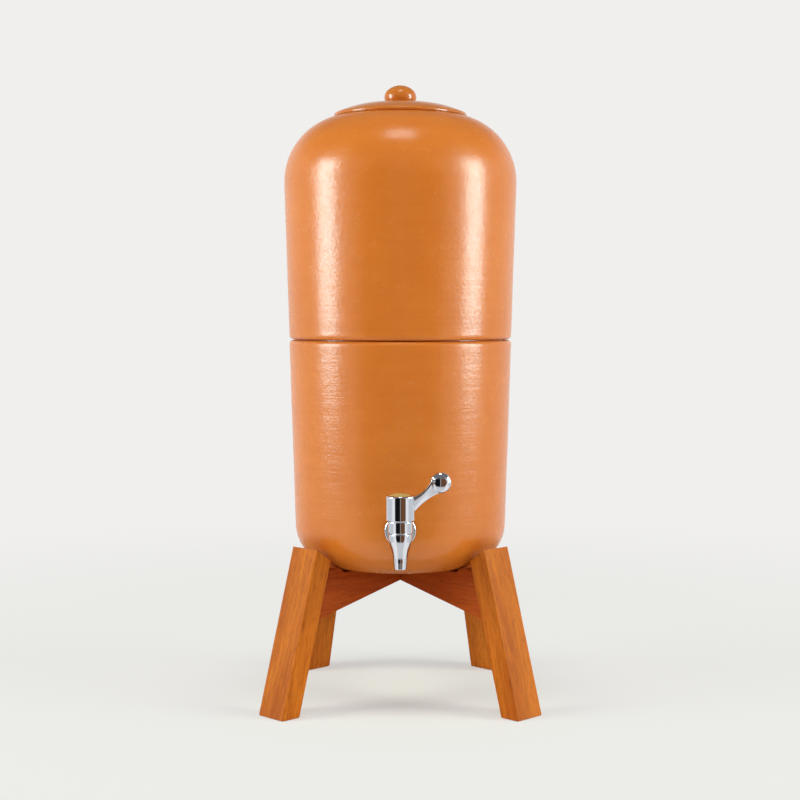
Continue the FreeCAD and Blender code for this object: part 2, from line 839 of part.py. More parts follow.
def make_handle(label):
    body = make_body(label, tap_place())
    top = size.handle_top
    outer = size.handle_radius
    stem = size.stem_radius + size.screw_fit
    socket_top = size.stem_top + size.screw_clearance
    head_low = size.stem_top + size.screw_head_rise
    head_radius = size.screw_head_radius + size.screw_clearance
    screw_radius = size.screw_radius + size.screw_clearance
    cap_radius = size.cap_radius + size.cap_clearance
    edge = size.tap_edge_round
    rim = size.handle_top_round
    revolve(body, label + "_barrel", [
        (stem, size.handle_low),
        (outer - edge, size.handle_low),
        (outer, size.handle_low + edge, edge, "left"),
        (outer, top - rim),
        (outer - rim, top, rim, "left"),
        (cap_radius, top),
        (cap_radius, size.cap_low),
        (head_radius, size.cap_low),
        (head_radius, head_low),
        (screw_radius, head_low),
        (screw_radius, socket_top),
        (stem, socket_top),
    ])
    root = size.arm_root_radius
    arm = make_sketch(body, label + "_arm_side", "XZ_Plane")
    draw_outline(arm, [
        (root, size.arm_root_low),
        (size.ball_out, size.arm_end_low, size.arm_low_round, "right"),
        (size.ball_out, size.arm_end_high),
        (size.arm_end_near, size.arm_end_top),
        (root, size.arm_root_high, size.arm_high_round, "right"),
    ])
    web = pad(body, label + "_arm", arm, size.arm_thickness, both_sides=True)
    side = size.arm_thickness.number * SEMI
    clear_of_barrel = outer.number + edge.number

    def arm_rim(found):
        box = found.BoundBox
        flat = box.YLength < 0.01 and abs(abs(box.YMax) - side) < 0.01
        return flat and box.XMax > clear_of_barrel

    dress(body, "Chamfer", label + "_arm_rim", web, size.arm_chamfer, arm_rim)
    ball = body.newObject("PartDesign::AdditiveEllipsoid", label + "_flat_ball")
    ball.setExpression("Radius1", size.ball_radius.text)
    ball.setExpression("Radius2", size.ball_radius.text)
    ball.setExpression("Radius3", size.ball_half_depth.text)
    ball.Placement = Placement(Vector(size.ball_out.number, 0, size.ball_z.number), Rotation())
    doc.recompute()
    return body


def make_cap_disc(label):
    body = make_body(label, tap_place())
    low = size.cap_low
    high = low + size.cap_side
    face_radius = size.cap_radius - size.cap_bevel
    revolve(body, label + "_disc", [
        (0, low),
        (size.cap_radius, low),
        (size.cap_radius, high),
        (face_radius, high + size.cap_bevel),
        (0, high + size.cap_bevel + size.cap_rise,
         crown_round(face_radius, size.cap_rise), "left"),
    ])
    return body


def make_handle_screw(label):
    body = make_body(label, tap_place())
    tip = size.stem_top - size.screw_length
    head_low = size.stem_top + size.screw_head_rise
    head_top = head_low + size.screw_head_height
    bevel = size.screw_head_bevel
    revolve(body, label + "_turned", [
        (0, tip),
        (size.screw_radius, tip),
        (size.screw_radius, head_low),
        (size.screw_head_radius, head_low),
        (size.screw_head_radius, head_top - bevel),
        (size.screw_head_radius - bevel, head_top),
        (0, head_top),
    ])
    slot = make_sketch(body, label + "_slot", "XY_Plane", head_top)
    reach = size.screw_head_radius + bevel
    half = size.screw_slot_half
    draw_outline(slot, [(-reach, -half), (reach, -half), (reach, half), (-reach, half)])
    pocket(body, label + "_slot_cut", slot, size.screw_slot_depth)
    return body


# Filter candle
def make_candle_shell(label):
    body = make_body(label, pot_place())
    inner = size.candle_radius - size.candle_wall
    crown = size.candle_straight_top
    revolve(body, label + "_dome", [
        (inner, size.candle_seat_z),
        (size.candle_radius, size.candle_seat_z),
        (size.candle_radius, crown),
        (0, crown + size.candle_radius, size.candle_radius, "left"),
        (0, crown + inner),
        (inner, crown, inner, "right"),
    ])
    return body


def make_candle_base(label):
    body = make_body(label, pot_place())
    outer = size.candle_foot_radius
    cup = size.candle_radius + size.candle_cup_gap
    boss = size.candle_radius - size.candle_wall - size.candle_boss_gap
    boss_top = size.candle_seat_z + size.candle_boss_height
    bore_radius = size.candle_stem_bore
    revolve(body, label + "_foot", [
        (bore_radius, size.candle_stem_low),
        (size.candle_stem_radius, size.candle_stem_low),
        (size.candle_stem_radius, size.candle_foot_low),
        (outer, size.candle_foot_low),
        (outer, size.candle_foot_top),
        (cup, size.candle_foot_top),
        (cup, size.candle_seat_z),
        (boss, size.candle_seat_z),
        (boss, boss_top),
        (bore_radius, boss_top),
    ])
    return body


def make_core(label):
    body = make_body(label, pot_place())
    low = size.candle_seat_z + size.candle_boss_height
    top = low + size.core_height
    revolve(body, label + "_block", [
        (0, low), (size.core_radius, low), (size.core_radius, top), (0, top)])
    return body


def make_wing_nut(label):
    body = make_body(label, pot_place())
    top = size.seam_z - size.spigot_depth - size.washer_thickness
    low = top - size.wing_hub_height
    revolve(body, label + "_hub", [
        (size.candle_stem_radius, low),
        (size.wing_hub_radius, low),
        (size.wing_hub_radius, top),
        (size.candle_stem_radius, top),
    ])
    for name, sign in (("left", -1.0), ("right", 1.0)):
        wing = make_sketch(body, f"{label}_{name}_side", "XZ_Plane")
        near = size.wing_root * sign
        far = size.wing_reach * sign
        near_low = low + size.wing_lift
        far_low = low - size.wing_lift
        draw_outline(wing, [
            (near, near_low),
            (far, far_low),
            (far, far_low + size.wing_height),
            (near, near_low + size.wing_height),
        ])
        pad(body, f"{label}_{name}", wing, size.wing_thickness, both_sides=True)
    return body


# Float valve
def float_place():
    """At the hinge pin, with X along the drooping arm."""
    point = Vector(-size.pivot_back.number, size.pot_axis_y.number, size.pivot_z.number)
    return Placement(point, Rotation(Vector(0, 1, 0), size.float_droop.number))


def make_float_housing(label):
    body = make_body(label, pot_place())
    low = size.housing_low
    guide = size.valve_guide_radius
    chamber = size.valve_chamber_radius
    seat = low + size.valve_seat_thickness
    revolve(body, label + "_tube", [
        (guide, low),
        (size.housing_radius, low),
        (size.housing_radius, size.housing_top),
        (size.candle_stem_radius, size.housing_top),
        (size.candle_stem_radius, size.candle_stem_low),
        (chamber, size.candle_stem_low),
        (chamber, seat),
        (guide, seat),
    ])
    near = size.float_arm_width * SEMI + size.ear_gap
    left = -size.pivot_back - size.ear_half_width
    right = -size.pivot_back + size.ear_half_width
    ear_low = size.pivot_z - size.ear_drop
    ear_high = low + size.ear_overlap
    for name, start in (("front", near), ("rear", -near - size.ear_thickness)):
        ear = make_sketch(body, f"{label}_{name}_ear_side", "XZ_Plane", start)
        draw_outline(ear, [
            (left, ear_low), (right, ear_low), (right, ear_high), (left, ear_high)])
        pad(body, f"{label}_{name}_ear", ear, size.ear_thickness)
    bore(body, label + "_pin_hole", "XZ_Plane", BEYOND, (-size.pivot_back, size.pivot_z),
         size.pin_radius, BEYOND * 2)
    bore(body, label + "_outlet", "XZ_Plane", 0.0, (0, low + size.outlet_rise),
         size.outlet_radius, size.housing_radius)
    return body


def make_float_pin(label):
    place = Placement(
        Vector(-size.pivot_back.number, size.pot_axis_y.number, size.pivot_z.number),
        Rotation(Vector(1, 0, 0), 90))
    body = make_body(label, place)
    half = size.pin_half_length
    revolve(body, label + "_rod", [
        (0, -half), (size.pin_radius, -half), (size.pin_radius, half), (0, half)])
    return body


def make_float_arm(label):
    body = make_body(label, float_place())
    half = size.float_arm_thickness * SEMI
    bar_end = size.float_reach - size.float_radius - size.float_gap
    boss = make_sketch(body, label + "_boss_circle", "XZ_Plane")
    draw_circle(boss, 0, 0, size.float_boss_radius)
    pad(body, label + "_boss", boss, size.float_arm_width, both_sides=True)
    side = make_sketch(body, label + "_side", "XZ_Plane")
    draw_outline(side, [(0, -half), (bar_end, -half), (bar_end, half), (0, half)])
    pad(body, label + "_bar", side, size.float_arm_width, both_sides=True)
    stub_start = bar_end - size.stub_inset
    stub = make_sketch(body, label + "_stub_circle", "YZ_Plane", stub_start)
    draw_circle(stub, 0, 0, size.stub_radius)
    pad(body, label + "_stub", stub, size.stub_length)
    bore(body, label + "_pin_hole", "XZ_Plane", BEYOND, (0, 0),
         size.pin_radius + size.pin_clearance, BEYOND * 2)
    return body


def make_float_ball(label):
    body = make_body(label, float_place())
    ball = body.newObject("PartDesign::AdditiveSphere", label + "_sphere")
    ball.setExpression("Radius", size.float_radius.text)
    ball.Placement = Placement(Vector(size.float_reach.number, 0, 0), Rotation())
    doc.recompute()
    start = size.float_reach - size.float_radius
    bore(body, label + "_socket", "YZ_Plane", start, (0, 0), size.stub_radius,
         size.socket_depth, along_normal=True)
    return body


def make_plunger(label):
    body = make_body(label, pot_place())
    tip = size.plunger_tip_z
    radius = size.plunger_radius
    head = size.plunger_head_radius
    bevel = size.plunger_head_bevel
    head_low = size.housing_low + size.plunger_head_rise
    head_top = head_low + size.plunger_head_height
    revolve(body, label + "_turned", [
        (0, tip),
        (size.plunger_tip_flat, tip),
        (radius, tip + size.plunger_taper),
        (radius, head_low),
        (head, head_low),
        (head, head_top - bevel),
        (head - bevel, head_top),
        (0, head_top),
    ])
    return body


# The whole assembly
tap_washer_outer = size.outer_seat + size.washer_thickness
tap_washer_inner = size.inner_seat - size.washer_thickness
floor_low = size.seam_z - size.spigot_depth
washer_inside = size.candle_stem_radius + size.candle_washer_gap

pieces = [make_leg(*leg) for leg in LEGS]
pieces += [
    make_board("cross_board_lower", 45, notch_on_top=True),
    make_board("cross_board_upper", 135, notch_on_top=False),
    make_dowels("board_dowels"),
    make_lower_pot("lower_pot"),
    make_upper_pot("upper_pot"),
    make_lid("lid"),
    make_flange("tap_flange"),
    make_ring("tap_outer_washer", size.washer_bore, size.washer_radius,
              size.outer_seat, tap_washer_outer, shank_place()),
    make_ring("tap_inner_washer", size.washer_bore, size.washer_radius,
              tap_washer_inner, size.inner_seat, shank_place()),
    make_nut("tap_nut"),
    make_tap_body("tap_body"),
    make_bonnet("tap_bonnet"),
    make_spindle("tap_spindle"),
    make_o_rings("tap_o_rings"),
    make_handle("tap_handle"),
    make_cap_disc("tap_cap_disc"),
    make_handle_screw("tap_handle_screw"),
    make_candle_shell("candle_shell"),
    make_core("candle_core"),
    make_candle_base("candle_base"),
    make_ring("candle_upper_washer", washer_inside, size.candle_washer_radius,
              size.upper_floor_top, size.candle_foot_low, pot_place()),
    make_ring("candle_lower_washer", washer_inside, size.candle_washer_radius,
              floor_low - size.washer_thickness, floor_low, pot_place()),
    make_wing_nut("candle_wing_nut"),
    make_float_housing("float_housing"),
    make_float_pin("float_pin"),
    make_float_arm("float_arm"),
    make_float_ball("float_ball"),
    make_plunger("float_plunger"),
]
doc.recompute()

# Nothing is written unless every feature and every piece is sound
for item in doc.Objects:
    if "Invalid" in item.State or "Error" in item.State:
        raise RuntimeError(f"{item.Label} failed: {item.State}")
for piece in pieces:
    if piece.Shape.isNull() or not piece.Shape.isValid():
        raise RuntimeError(f"{piece.Label} has no sound shape")

os.makedirs("parts", exist_ok=True)
whole = FreeCAD.BoundBox()
for piece in pieces:
    piece.Shape.exportStep(f"parts/{piece.Label}.step")
    whole.add(piece.Shape.optimalBoundingBox(False, False))
    print(f"{piece.Label}: {len(piece.Shape.Solids)} solids, {piece.Shape.Volume / 1000:.2f} cm3")
print(f"box x {whole.XMin:.1f} {whole.XMax:.1f}, y {whole.YMin:.1f} {whole.YMax:.1f}, "
      f"z {whole.ZMin:.1f} {whole.ZMax:.1f}")
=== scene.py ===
import json
import math

import bmesh
import bpy
from mathutils import Matrix, Vector, noise


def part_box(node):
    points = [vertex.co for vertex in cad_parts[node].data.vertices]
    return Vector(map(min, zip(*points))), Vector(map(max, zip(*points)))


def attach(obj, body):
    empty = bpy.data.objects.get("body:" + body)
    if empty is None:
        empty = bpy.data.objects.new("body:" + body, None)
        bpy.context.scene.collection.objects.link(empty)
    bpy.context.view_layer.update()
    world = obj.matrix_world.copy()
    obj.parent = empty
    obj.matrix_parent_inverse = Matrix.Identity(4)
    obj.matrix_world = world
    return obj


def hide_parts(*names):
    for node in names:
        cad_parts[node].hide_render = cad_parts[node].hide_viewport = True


# A clay water filter on a wooden stand: the finish of every piece, the hand-thrown
# clay shells, a studio and the camera. Metres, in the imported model's own frame.

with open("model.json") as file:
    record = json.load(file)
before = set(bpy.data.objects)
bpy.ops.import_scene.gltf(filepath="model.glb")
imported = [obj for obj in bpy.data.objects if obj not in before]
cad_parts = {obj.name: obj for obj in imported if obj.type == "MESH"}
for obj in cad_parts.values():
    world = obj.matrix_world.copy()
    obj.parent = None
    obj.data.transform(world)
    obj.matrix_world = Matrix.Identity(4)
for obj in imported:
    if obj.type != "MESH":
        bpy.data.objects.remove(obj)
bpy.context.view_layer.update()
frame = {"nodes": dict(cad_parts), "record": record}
nodes = frame["nodes"]

MM = 0.001


def middle_of(node):
    low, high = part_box(node)
    return (low + high) / 2


AXIS = middle_of("lid")
AXIS.z = 0.0
TAP = middle_of("tap_cap_disc")
TAP.z = 0.0


# Colours are written as they look on a screen, from 0 to 255
def colour(red, green, blue):
    parts = []
    for part in (red, green, blue):
        share = part / 255
        parts.append(share / 12.92 if share <= 0.04045 else ((share + 0.055) / 1.055) ** 2.4)
    return (*parts, 1.0)


def darker(tint, share):
    return (*(part * share for part in tint[:3]), 1.0)


# Node trees
class Tree:
    """A shader tree, with short calls that add nodes and feed their sockets."""

    def __init__(self, tree):
        self.tree = tree

    def feed(self, socket, value):
        if isinstance(value, bpy.types.NodeSocket):
            self.tree.links.new(value, socket)
        else:
            socket.default_value = value

    def node(self, kind, inputs=None, **settings):
        made = self.tree.nodes.new("ShaderNode" + kind)
        for name, value in settings.items():
            setattr(made, name, value)
        for name, value in (inputs or {}).items():
            self.feed(made.inputs[name], value)
        return made

    def maths(self, operation, *values):
        return self.node("Math", dict(enumerate(values)), operation=operation).outputs[0]

    def place(self, scale=(1, 1, 1), origin=(0, 0, 0), turn=None):
        """The piece's own coordinates, about an origin, turned and then scaled."""
        socket = self.node("TexCoord").outputs["Object"]
        if any(origin):
            shift = {0: socket, 1: tuple(origin)}
            socket = self.node("VectorMath", shift, operation="SUBTRACT").outputs[0]
        if turn:
            made = self.node("VectorRotate", {"Vector": socket, "Rotation": tuple(turn)},
                             rotation_type="EULER_XYZ", invert=True)
            socket = made.outputs[0]
        stretch = {0: socket, 1: tuple(scale)}
        return self.node("VectorMath", stretch, operation="MULTIPLY").outputs[0]

    def noise(self, place, scale=1.0, detail=2.0, roughness=0.5, distortion=0.0):
        made = self.node("TexNoise", {
            "Vector": place, "Scale": scale, "Detail": detail, "Roughness": roughness,
            "Distortion": distortion})
        return made.outputs["Fac"]

    def span(self, value, low, high, out_low=0.0, out_high=1.0, smooth=False):
        made = self.node("MapRange", {
            "Value": value, "From Min": low, "From Max": high, "To Min": out_low,
            "To Max": out_high}, interpolation_type="SMOOTHSTEP" if smooth else "LINEAR")
        return made.outputs[0]

    def mix(self, share, first, second):
        made = self.node("Mix", {0: share, 6: first, 7: second}, data_type="RGBA")
        return made.outputs[2]

    def bump(self, height, distance, normal=None):
        inputs = {"Height": height, "Distance": distance, "Strength": 1.0}
        if normal is not None:
            inputs["Normal"] = normal
        return self.node("Bump", inputs).outputs[0]


class Finish(Tree):
    """A material with one Principled shader."""

    def __init__(self, name, **shader):
        self.material = bpy.data.materials.new(name)
        self.material.use_nodes = True
        super().__init__(self.material.node_tree)
        self.shader = self.tree.nodes["Principled BSDF"]
        self.set(**shader)

    def set(self, **shader):
        for name, value in shader.items():
            self.feed(self.shader.inputs[name.replace("_", " ")], value)


# Finishes
SPECK = colour(148, 70, 24)

# Depths of bump in the clay
BAND_DEPTH = 0.09 * MM
LINE_DEPTH = 0.1 * MM

# Heights between which a feature of the clay comes in or fades out
BELLY = (0.15, 0.19)
WORKED = (0.40, 0.47)
SHOULDER = (0.515, 0.545)


def clay_finish(name, dark, light, shine, peel):
    """Burnished terracotta: faint clouds of tone, turning lines and orange-peel dimples. The
    lines fade above the wall, and the dimples, peel millimetres deep, fade on the belly. The
    gloss varies with the dimples."""
    finish = Finish(name)
    place = finish.place(origin=AXIS)
    broad = finish.noise(place, 13.0, 3.0, 0.55)
    mottle = finish.noise(place, 70.0, 4.0, 0.6)
    bands = finish.noise(finish.place(scale=(6, 6, 150), origin=AXIS), 1.0, 3.0, 0.6)
    grit = finish.noise(place, 800.0, 2.0, 0.6)
    tone = finish.maths("MULTIPLY_ADD", broad, 0.5, finish.maths("MULTIPLY", mottle, 0.2))
    tone = finish.maths("MULTIPLY_ADD", bands, 0.25, tone)
    tone = finish.maths("MULTIPLY_ADD", grit, 0.3, tone)
    base = finish.mix(finish.span(tone, 0.4, 0.85), dark, light)
    specks = finish.node("TexVoronoi", {"Vector": place, "Scale": 190.0, "Randomness": 1.0})
    chance = finish.span(finish.noise(place, 210.0, 0.0), 0.55, 0.6)
    speck = finish.span(specks.outputs["Distance"], 0.06, 0.14, 0.3, 0.0)
    base = finish.mix(finish.maths("MULTIPLY", speck, chance), base, SPECK)
    finish.set(Base_Color=base)
    finish.set(Roughness=finish.span(mottle, 0.3, 0.7, shine - 0.02, shine + 0.03))
    lines = finish.noise(finish.place(scale=(9, 9, 420), origin=AXIS), 1.0, 3.0, 0.6)
    height = finish.node("SeparateXYZ", {0: place}).outputs["Z"]
    wall = finish.span(height, *SHOULDER, 1.0, 0.0)
    worked = finish.span(height, *WORKED, 1.0, 0.4, smooth=True)
    lines = finish.maths("MULTIPLY", finish.maths("MULTIPLY", lines, worked), wall)
    normal = finish.bump(finish.maths("MULTIPLY", bands, wall), BAND_DEPTH)
    normal = finish.bump(lines, LINE_DEPTH, normal)
    grain = finish.noise(finish.place(scale=(330, 330, 460), origin=AXIS), 1.0, 1.0, 0.5)
    normal = finish.bump(finish.noise(place, 150.0, 2.0, 0.5), peel * MM, normal)
    belly = finish.span(height, *BELLY, 0.1, 1.0, smooth=True)
    normal = finish.bump(finish.maths("MULTIPLY", grain, belly), peel * MM, normal)
    finish.set(Normal=normal)
    finish.set(Specular_IOR_Level=finish.span(grain, 0.3, 0.7, 0.5 - peel, 0.5 + peel))
    return finish.material


WOOD_SHINE = 0.46
FIBRE_DEPTH = 0.05 * MM


def wood_finish(name, dark, light, origin, turn):
    """Varnished wood with its grain along X of the turned frame: slow clouds of tone, fine
    fibres, and short dark pores."""
    finish = Finish(name, Specular_IOR_Level=0.07)
    figure = finish.place(scale=(6, 40, 40), origin=origin, turn=turn)
    grain = finish.place(scale=(22, 420, 420), origin=origin, turn=turn)
    pores = finish.place(scale=(95, 900, 900), origin=origin, turn=turn)
    wide = finish.noise(figure, 1.0, 3.0, 0.55, 0.4)
    fibre = finish.noise(grain, 1.0, 5.0, 0.62, 0.1)
    tone = finish.maths("MULTIPLY_ADD", wide, 0.75, finish.maths("MULTIPLY", fibre, 0.6))
    base = finish.mix(finish.span(tone, 0.42, 0.92, smooth=True), dark, light)
    pore = finish.span(finish.noise(pores, 1.0, 2.0, 0.5), 0.55, 0.68, 0.0, 0.42)
    finish.set(Base_Color=finish.mix(pore, base, darker(dark, 0.42)))
    finish.set(Roughness=finish.span(fibre, 0.3, 0.7, WOOD_SHINE - 0.04, WOOD_SHINE + 0.08))
    normal = finish.bump(fibre, FIBRE_DEPTH)
    normal = finish.bump(finish.maths("SUBTRACT", 1.0, pore), FIBRE_DEPTH, normal)
    finish.set(Normal=normal)
    return finish.material


def metal_finish(name, tint, roughness, scratch=0.06, wave=0.01):
    """Metal with faint rubbing marks and a slightly uneven plated skin."""
    finish = Finish(name, Metallic=1.0)
    place = finish.place()
    cloud = finish.noise(place, 160.0, 3.0, 0.6)
    rub = finish.noise(finish.place(scale=(260, 260, 3200)), 1.0, 2.0, 0.6)
    finish.set(Base_Color=finish.mix(cloud, darker(tint, 0.93), tint))
    marks = finish.maths("MULTIPLY_ADD", rub, scratch, roughness)
    finish.set(Roughness=finish.maths("MULTIPLY_ADD", cloud, scratch, marks))
    finish.set(Normal=finish.bump(finish.noise(place, 240.0, 2.0, 0.5), wave * MM))
    return finish.material


def moulded_finish(name, dark, light, roughness, grain=900.0, depth=0.02):
    """A plain cast or moulded stuff with a fine uneven surface."""
    finish = Finish(name)
    place = finish.place()
    cloud = finish.noise(place, 45.0, 4.0, 0.6)
    fine = finish.noise(place, grain, 3.0, 0.6)
    finish.set(Base_Color=finish.mix(finish.span(cloud, 0.3, 0.7), dark, light))
    finish.set(Roughness=finish.span(fine, 0.3, 0.7, roughness - 0.06, roughness + 0.08))
    finish.set(Normal=finish.bump(fine, depth * MM))
    return finish.material


CLAY = clay_finish("clay_burnished", colour(202, 108, 34), colour(215, 122, 43), 0.25, 0.11)
LID_CLAY = clay_finish("clay_lid", colour(192, 104, 32), colour(206, 118, 42), 0.18, 0.04)
CHROME = metal_finish("chrome_plate", colour(228, 230, 234), 0.025, 0.02, 0.004)

# By the record's material slot
PLAIN_FINISHES = {
    "dowel_wood": moulded_finish("dowel_beech", colour(190, 150, 100), colour(208, 170, 120),
                                 0.6),
    "brass": metal_finish("brass_turned", colour(214, 178, 104), 0.22, 0.12),
    "gold_disc": metal_finish("gold_disc_face", colour(238, 220, 146), 0.5, 0.1),
    "steel": metal_finish("steel_turned", colour(176, 176, 178), 0.25, 0.15),
    "black_rubber": moulded_finish("rubber_black", colour(20, 20, 20), colour(34, 34, 34), 0.7),
    "white_ceramic": moulded_finish("ceramic_white", colour(232, 230, 222), colour(244, 242, 236),
                                    0.85, 1400.0, 0.08),
    "carbon": moulded_finish("carbon_pressed", colour(22, 22, 24), colour(44, 44, 46),
                             0.85, 1500.0, 0.15),
    "white_plastic": moulded_finish("plastic_white", colour(222, 222, 218), colour(234, 234, 230),
                                    0.42),
    "blue_plastic": moulded_finish("plastic_blue", colour(36, 84, 152), colour(48, 98, 168),
                                   0.42),
    "grey_rubber": moulded_finish("rubber_grey", colour(80, 80, 82), colour(98, 98, 100), 0.65),
}


def assign(node, material):
    for place in nodes[node].material_slots:
        place.material = material


# Turned shells. Outlines are in millimetres, as (radius, height)
SHARP_ANGLE = math.radians(40.0)
ON_AXIS = 1e-6
BORE_SIDES = 64


def arc_to(start, end, radius, turn, spacing):
    """Points after start along the shorter arc to end, which turns left or right."""
    across = end - start
    rise = math.sqrt(max(radius ** 2 - (across.length / 2) ** 2, 0.0))
    left = Vector((-across.y, across.x)).normalized()
    side = 1 if turn == "left" else -1
    centre = start + across * 0.5 + left * rise * side
    first = start - centre
    sweep = 2 * math.asin(min(across.length / 2 / radius, 1.0)) * side
    count = max(int(abs(sweep) * radius / spacing), 3)
    points = []
    for index in range(1, count + 1):
        angle = sweep * index / count
        turned = Vector((first.x * math.cos(angle) - first.y * math.sin(angle),
                         first.x * math.sin(angle) + first.y * math.cos(angle)))
        points.append(centre + turned)
    return points


def trace(steps, spacing, closed):
    """Points along an outline of (radius, height) in millimetres. A step may end with
    an arc's radius and the way it turns."""
    corners = [Vector(step[:2]) for step in steps]
    points = [corners[0]]
    following = list(range(1, len(steps))) + ([0] if closed else [])
    for index in following:
        start, end, step = points[-1], corners[index], steps[index]
        if len(step) == 4:
            points += arc_to(start, end, step[2], step[3], spacing)
        else:
            count = max(int((end - start).length / spacing), 1)
            points += [start.lerp(end, part / count) for part in range(1, count + 1)]
    if closed:
        points.pop()
    return points


def turned_mesh(name, points, segments, closed, uneven=None):
    """A mesh turned about the pot's axis. uneven moves a point of (radius, angle, height)."""
    form = bmesh.new()
    rings = []
    for point in points:
        if point.x < ON_AXIS:
            rings.append([form.verts.new((0, 0, point.y))])
            continue
        ring = []
        for index in range(segments):
            angle = math.tau * index / segments
            radius, height = point.x, point.y
            if uneven:
                radius, height = uneven(radius, angle, height)
            ring.append(form.verts.new((radius * math.sin(angle), -radius * math.cos(angle),
                                        height)))
        rings.append(ring)
    pairs = list(zip(rings, rings[1:]))
    if closed:
        pairs.append((rings[-1], rings[0]))
    for low, high in pairs:
        for index in range(segments):
            after = (index + 1) % segments
            if len(low) == 1:
                form.faces.new((low[0], high[after], high[index]))
            elif len(high) == 1:
                form.faces.new((low[index], low[after], high[0]))
            else:
                form.faces.new((low[index], low[after], high[after], high[index]))
    return mesh_of(name, form)


def shade(form):
    """Smooth shading, with sharp edges where faces meet steeply."""
    for face in form.faces:
        face.smooth = True
    for edge in form.edges:
        if edge.is_manifold:
            edge.smooth = edge.calc_face_angle(0.0) < SHARP_ANGLE


def mesh_of(name, form):
    bmesh.ops.recalc_face_normals(form, faces=form.faces)
    shade(form)
    mesh = bpy.data.meshes.new(name)
    form.to_mesh(mesh)
    form.free()
    made = bpy.data.objects.new(name, mesh)
    bpy.context.scene.collection.objects.link(made)
    return made


def bore_wall(piece, radius, height, start, end):
    """Cut a round hole towards -Y through a wall, at a height."""
    form = bmesh.new()
    turn = Matrix.Rotation(math.radians(90), 4, "X")
    place = Matrix.Translation((0, -(start + end) / 2, height)) @ turn
    bmesh.ops.create_cone(form, cap_ends=True, segments=BORE_SIDES, radius1=radius,
                          radius2=radius, depth=end - start, matrix=place)
    cutter = mesh_of("cutter", form)
    cut = piece.modifiers.new("hole", "BOOLEAN")
    cut.operation = "DIFFERENCE"
    cut.solver = "EXACT"
    cut.object = cutter
    bpy.context.view_layer.update()
    result = piece.evaluated_get(bpy.context.evaluated_depsgraph_get())
    mesh = bpy.data.meshes.new_from_object(result)
    piece.modifiers.clear()
    piece.data = mesh
    bpy.data.objects.remove(cutter)
    form = bmesh.new()
    form.from_mesh(mesh)
    shade(form)
    form.to_mesh(mesh)
    form.free()


def to_place(piece, origin=AXIS):
    """Millimetres about an axis become metres in the frame."""
    piece.data.transform(Matrix.Translation(origin) @ Matrix.Scale(MM, 4))
    return piece


def dress(piece, body, material, slot, *replaced):
    piece.data.materials.append(material)
    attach(piece, body)
    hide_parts(*replaced)


# Where the two vessels meet
SEAM = 354.8
SEAM_ROUND = 3.6
SEAM_GAP = 0.9
RIM = 110.5
STEP = 103.5

# The tap's hole, and the flats that its washers bear on
SHANK_Z = 177.0
SHANK_HOLE = 7.2
HOLE_REACH = (80.0, 118.0)
OUTER_SEAT = 104.2
INNER_SEAT = 96.0
SEAT_RADIUS = 15.6
SEAT_BLEND = 3.4
SEAT_FRONT = -60.0

# The candle's hole, the upper vessel's mouth, and the height that the lid rests at
STEM_HOLE = 6.6
MOUTH = 55
LEDGE = 572.8

POT_SPACING = 1.6
POT_SIDES = 224
LID_SPACING = 0.9
LID_SIDES = 176


def thrown(seed, ridge=0.03, lump=0.14):
    """How a hand-thrown wall departs from a true surface, in millimetres. The turning lines
    are strongest on the lower half of the upper vessel."""
    def uneven(radius, angle, height):
        around = Vector((math.sin(angle), math.cos(angle), 0))
        line = noise.noise(Vector((around.x * 0.6, around.y * 0.6, height / 3.4 + seed)))
        band = noise.noise(Vector((around.x * 0.5, around.y * 0.5, height / 8.0 - seed)))
        swell = noise.noise(Vector((around.x * 1.7, around.y * 1.7, height / 45.0 + seed)))
        worked = 1.0 + 1.6 * math.exp(-((height - 390.0) / 45.0) ** 2)
        full = min(max((radius - 40.0) / 30.0, 0.0), 1.0)
        return radius + ((line + band * 1.6) * ridge * worked + swell * lump) * full, height
    return uneven


def press_seats(piece):
    """Flatten the lower wall, outside and inside, where the tap's washers bear."""
    for vertex in piece.data.vertices:
        point = vertex.co
        across = math.hypot(point.x, point.z - SHANK_Z)
        if point.y > SEAT_FRONT or across > SEAT_RADIUS + SEAT_BLEND:
            continue
        share = min(max((SEAT_RADIUS + SEAT_BLEND - across) / SEAT_BLEND, 0.0), 1.0)
        share = share * share * (3 - 2 * share)
        outside = math.hypot(point.x, point.y) > (OUTER_SEAT + INNER_SEAT) / 2
        target = -OUTER_SEAT if outside else -INNER_SEAT
        point.y += (target - point.y) * share


def make_lower_pot():
    steps = [
        (0, 130), (63, 130), (105, 171, 42, "left"), (RIM, SEAM - SEAM_ROUND),
        (RIM - SEAM_ROUND, SEAM, SEAM_ROUND, "left"), (102.8, SEAM),
        (100.8, SEAM - 2, 2, "left"), (95, 166), (71, 142, 24, "right"), (0, 142),
    ]
    points = trace(steps, POT_SPACING, False)
    piece = turned_mesh("lower_pot_thrown", points, POT_SIDES, False, thrown(3.0))
    press_seats(piece)
    bore_wall(piece, SHANK_HOLE, SHANK_Z, *HOLE_REACH)
    to_place(piece)
    dress(piece, "lower_vessel", CLAY, "clay", "lower_pot")


